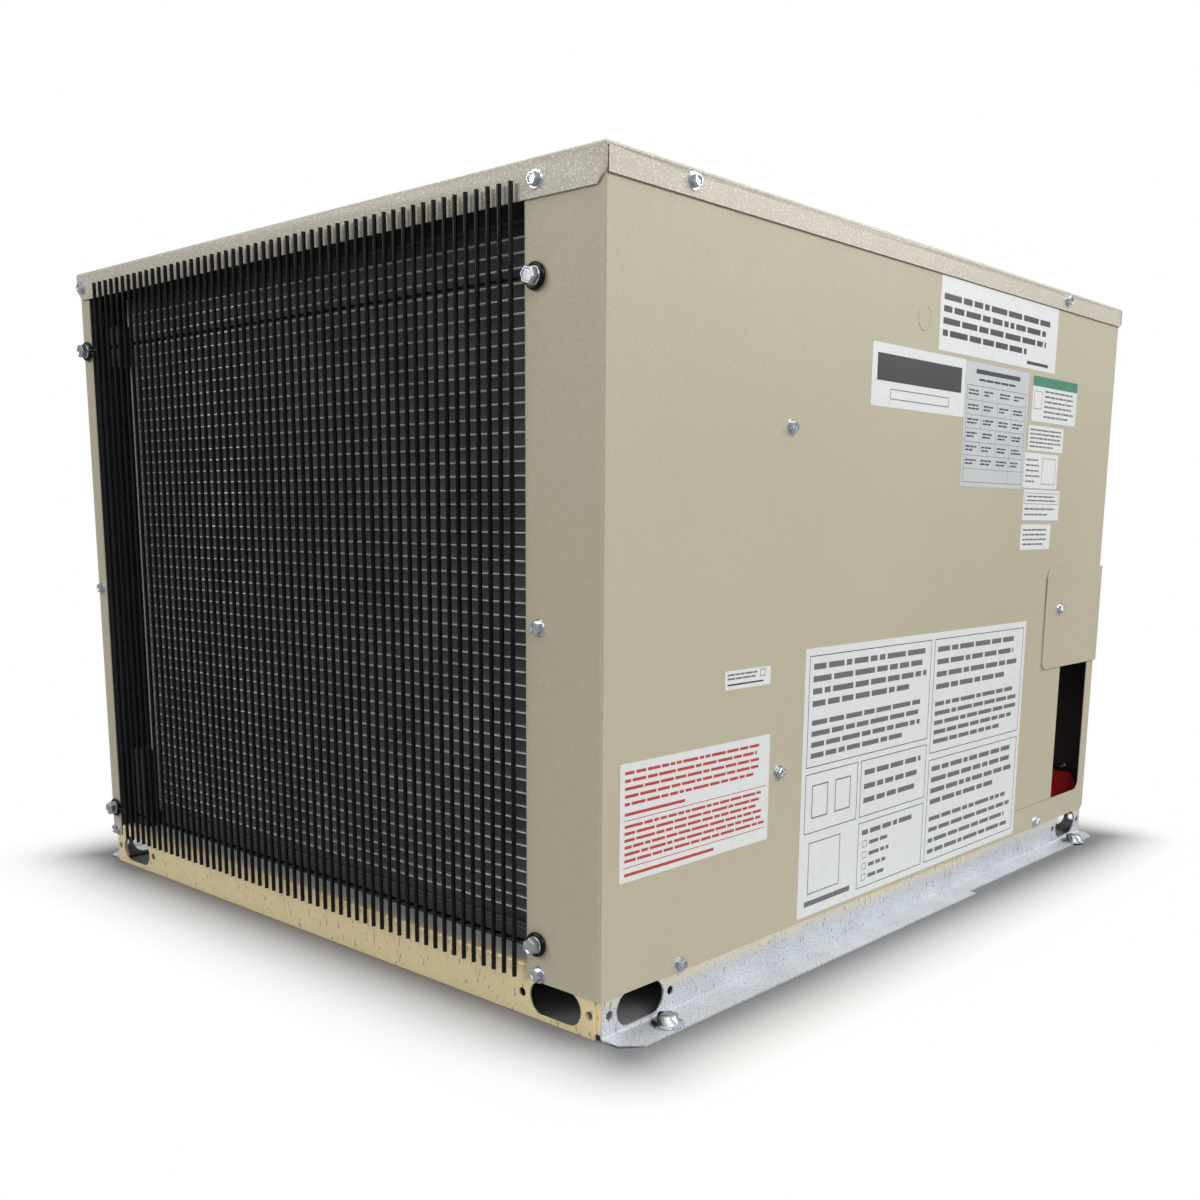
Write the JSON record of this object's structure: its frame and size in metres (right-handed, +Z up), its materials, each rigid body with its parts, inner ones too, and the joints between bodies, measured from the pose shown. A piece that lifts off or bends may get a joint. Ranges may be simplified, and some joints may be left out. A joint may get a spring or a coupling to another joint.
{
  "type": "refrigeration condensing unit",
  "caption": "Air-cooled refrigeration condensing unit: a coil and wire guard on one end of a sheet-metal cabinet, a rear fan, and a compressor, receiver and piping on a steel base.",
  "frame": {"origin": "middle of the base's underside, on the surface the unit stands on", "axes": "+Z up; -Y towards the coil face; +X towards the service side with the line slot"},
  "size_m": [0.737, 0.844, 0.58],
  "materials": {
    "cabinet_paint": "fine-texture powder coat, beige",
    "galvanised": "hot-dip galvanised with fine spangle",
    "zinc_hardware": "bright zinc plate",
    "black_wire": "gloss black coated wire",
    "coil_aluminium": "brazed mill aluminium",
    "fin_aluminium": "louvred fin stock",
    "black_rubber": "matt",
    "black_foam": "closed-cell foam, matt",
    "fan_aluminium": "satin cast",
    "steel_shaft": "ground steel",
    "black_paint": "semi-gloss black enamel",
    "heater_silicone": "silicone rubber, matt",
    "black_plastic": "matt moulded",
    "cream_plastic": "matt moulded",
    "copper": "drawn copper tube, slightly tarnished",
    "drier_paint": "blue-grey enamel",
    "brass": "machined brass",
    "red_paint": "red enamel",
    "can_aluminium": "drawn can"
  },
  "bodies": {
    "chassis": {"base_pan": "galvanised", "coil_channel": "galvanised", "coil_fins": "fin_aluminium", "coil_guard": "black_wire", "coil_isolators": "black_rubber", "coil_side_plates": "coil_aluminium", "coil_top_baffle": "black_foam", "coil_tubes": "coil_aluminium", "compressor": "black_paint", "compressor_bolts": "zinc_hardware", "compressor_grommets": "black_rubber", "condenser_line": "copper", "contactor": "black_plastic", "control_box": "galvanised", "control_box_cover": "galvanised", "control_box_stand": "galvanised", "crankcase_heater": "heater_silicone", "discharge_line": "copper", "fan_motor": "black_paint", "fan_venturi": "galvanised", "filter_drier": "drier_paint", "guard_bolts": "zinc_hardware", "header_left": "coil_aluminium", "header_right": "coil_aluminium", "hold_down_bolts": "zinc_hardware", "left_panel": "cabinet_paint", "liquid_line": "copper", "liquid_valve": "brass", "motor_bracket": "zinc_hardware", "panel_screws": "zinc_hardware", "pipe_grommets": "black_rubber", "rear_corner_panel": "cabinet_paint", "rear_guard": "black_wire", "rear_panel": "cabinet_paint", "receiver": "black_paint", "receiver_stand": "black_paint", "right_panel": "cabinet_paint", "run_capacitor": "can_aluminium", "sight_glass": "brass", "suction_line": "copper", "suction_valve": "brass", "terminal_cover": "black_plastic", "terminal_strip": "black_plastic", "valve_bracket": "red_paint", "valve_partition": "galvanised"},
    "fan": {"fan_propeller": "fan_aluminium", "motor_shaft": "steel_shaft"},
    "top_cover": {"top_panel": "cabinet_paint", "lid_screws": "zinc_hardware"},
    "slot_cover": {"line_slot_cover": "cabinet_paint"},
    "plunger": {"contactor_plunger": "cream_plastic"},
    "suction_stem": {"suction_valve_stem": "steel_shaft"},
    "liquid_stem": {"liquid_valve_stem": "steel_shaft"},
    "suction_cap": {"suction_valve_cap": "brass"},
    "liquid_cap": {"liquid_valve_cap": "brass"}
  },
  "joints": [
    {"name": "fan_spin", "type": "hinge", "parent": "chassis", "child": "fan", "pos_m": [-0.05, 0.377, 0.3], "axis": [0, 1, 0], "continuous": true},
    {"name": "top_cover_lift", "type": "slide", "parent": "chassis", "child": "top_cover", "axis": [0, 0, 1], "range_m": [0, 0.3]},
    {"name": "slot_cover_slide", "type": "slide", "parent": "chassis", "child": "slot_cover", "axis": [0, -1, 0], "range_m": [0, 0.008]},
    {"name": "plunger_press", "type": "slide", "parent": "chassis", "child": "plunger", "axis": [-1, 0, 0], "range_m": [0, 0.0025], "stiffness_N_per_m": 300, "springref_m": -0.002},
    {"name": "suction_stem_turn", "type": "hinge", "parent": "chassis", "child": "suction_stem", "pos_m": [0.266, 0.345, 0.142], "axis": [0, -1, 0], "range_deg": [0, 720]},
    {"name": "liquid_stem_turn", "type": "hinge", "parent": "chassis", "child": "liquid_stem", "pos_m": [0.266, 0.345, 0.085], "axis": [0, -1, 0], "range_deg": [0, 720]},
    {"name": "suction_cap_off", "type": "slide", "parent": "chassis", "child": "suction_cap", "axis": [0, -1, 0], "range_m": [0, 0.03]},
    {"name": "liquid_cap_off", "type": "slide", "parent": "chassis", "child": "liquid_cap", "axis": [0, -1, 0], "range_m": [0, 0.03]}
  ]
}
